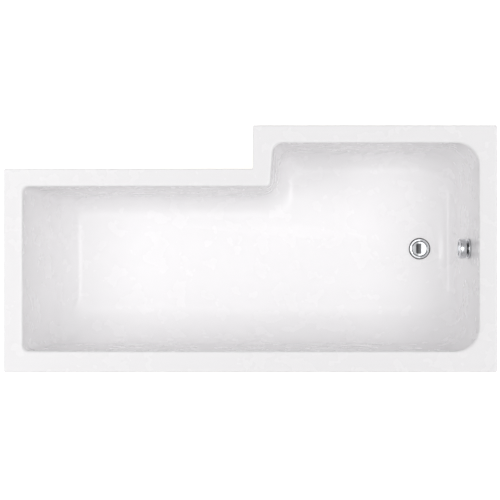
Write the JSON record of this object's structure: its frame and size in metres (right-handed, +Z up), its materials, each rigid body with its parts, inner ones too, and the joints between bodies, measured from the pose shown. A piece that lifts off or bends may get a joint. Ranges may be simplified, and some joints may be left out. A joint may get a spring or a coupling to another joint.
{
  "type": "l-shaped shower bath",
  "caption": "Acrylic bath with an L-shaped plan, wide shower end, sloping backrest, pop-up waste with rotary overflow knob and adjustable feet.",
  "frame": {"origin": "on the floor under the middle of the rim's box", "axes": "+X towards the head end, +Y towards the long wall, +Z up"},
  "size_m": [1.7, 0.85, 0.55],
  "materials": {
    "acrylic": "high-gloss white acrylic",
    "glass_fibre": "translucent glass-fibre laminate, chopped strand",
    "chipboard": "chipboard sealed with resin",
    "timber": "sawn softwood battens",
    "channel_steel": "galvanised pressed steel",
    "zinc_steel": "zinc-plated steel",
    "foot_plastic": "black moulded plastic",
    "chrome": "polished chrome",
    "bright_steel": "bright steel",
    "rubber_seal": "black rubber",
    "waste_plastic": "white moulded polypropylene",
    "lever_plastic": "grey moulded plastic",
    "hose_plastic": "white ribbed flexible hose",
    "cable_black": "black plastic-sheathed cable"
  },
  "bodies": {
    "root": {"bath_shell": "acrylic", "grp_reinforcement": "glass_fibre", "baseboard": "chipboard", "batten_head": "timber", "batten_wall_side": "timber", "batten_shower_end": "timber", "batten_wide_front": "timber", "batten_step": "timber", "batten_narrow_front": "timber", "leg_channel_shower": "channel_steel", "leg_channel_head": "channel_steel", "centre_bracket": "channel_steel", "leg_screws": "zinc_steel", "foot_nuts": "zinc_steel", "wall_brackets": "channel_steel", "bracket_screws": "zinc_steel", "waste_top_seal": "rubber_seal", "waste_flange": "chrome", "waste_bottom_seal": "rubber_seal", "waste_body": "waste_plastic", "cable_guide": "bright_steel", "cable_sheath": "cable_black", "overflow_front_seal": "rubber_seal", "overflow_faceplate": "chrome", "overflow_seal": "rubber_seal", "overflow_body": "waste_plastic", "cable_housing": "waste_plastic", "overflow_hose": "hose_plastic", "hose_nut_overflow": "waste_plastic", "hose_nut_waste": "waste_plastic"},
    "knob": {"overflow_knob": "chrome", "knob_spindle": "bright_steel", "cable_drum": "lever_plastic"},
    "plug": {"plug_cap": "chrome", "plug_stem": "bright_steel", "plug_seal": "rubber_seal"},
    "lever": {"lift_lever": "lever_plastic", "lever_shaft": "bright_steel", "lever_crank": "bright_steel"},
    "wire": {"pull_wire": "bright_steel"},
    "foot_1": {"foot_stud_1": "zinc_steel", "foot_cup_1": "foot_plastic"},
    "foot_2": {"foot_stud_2": "zinc_steel", "foot_cup_2": "foot_plastic"},
    "foot_3": {"foot_stud_3": "zinc_steel", "foot_cup_3": "foot_plastic"},
    "foot_4": {"foot_stud_4": "zinc_steel", "foot_cup_4": "foot_plastic"},
    "foot_5": {"foot_stud_5": "zinc_steel", "foot_cup_5": "foot_plastic"}
  },
  "joints": [
    {"name": "knob_turn", "type": "hinge", "parent": "root", "child": "knob", "pos_m": [-0.75392, 0, 0.395], "axis": [-0.9767, 0, -0.2147], "range_deg": [0, 90]},
    {"name": "plug_rise", "type": "slide", "parent": "root", "child": "plug", "axis": [0, 0, 1], "range_m": [0, 0.01]},
    {"name": "lever_swing", "type": "hinge", "parent": "root", "child": "lever", "pos_m": [-0.565, 0, 0.1085], "axis": [0, 1, 0], "range_deg": [0, 28.96]},
    {"name": "wire_swing", "type": "hinge", "parent": "lever", "child": "wire", "pos_m": [-0.55878, 0, 0.08442], "axis": [0, 1, 0], "range_deg": [-28.96, 0]},
    {"name": "foot_1_screw", "type": "slide", "parent": "root", "child": "foot_1", "axis": [0, 0, 1], "range_m": [-0.015, 0.02]},
    {"name": "foot_2_screw", "type": "slide", "parent": "root", "child": "foot_2", "axis": [0, 0, 1], "range_m": [-0.015, 0.02]},
    {"name": "foot_3_screw", "type": "slide", "parent": "root", "child": "foot_3", "axis": [0, 0, 1], "range_m": [-0.015, 0.02]},
    {"name": "foot_4_screw", "type": "slide", "parent": "root", "child": "foot_4", "axis": [0, 0, 1], "range_m": [-0.015, 0.02]},
    {"name": "foot_5_screw", "type": "slide", "parent": "root", "child": "foot_5", "axis": [0, 0, 1], "range_m": [-0.015, 0.012]}
  ],
  "couplings": [
    {"joint": "plug_rise", "follows": "knob_turn", "m_per_rad": 0.006366},
    {"joint": "lever_swing", "follows": "knob_turn", "ratio": 0.32172},
    {"joint": "wire_swing", "follows": "knob_turn", "ratio": -0.32172}
  ]
}
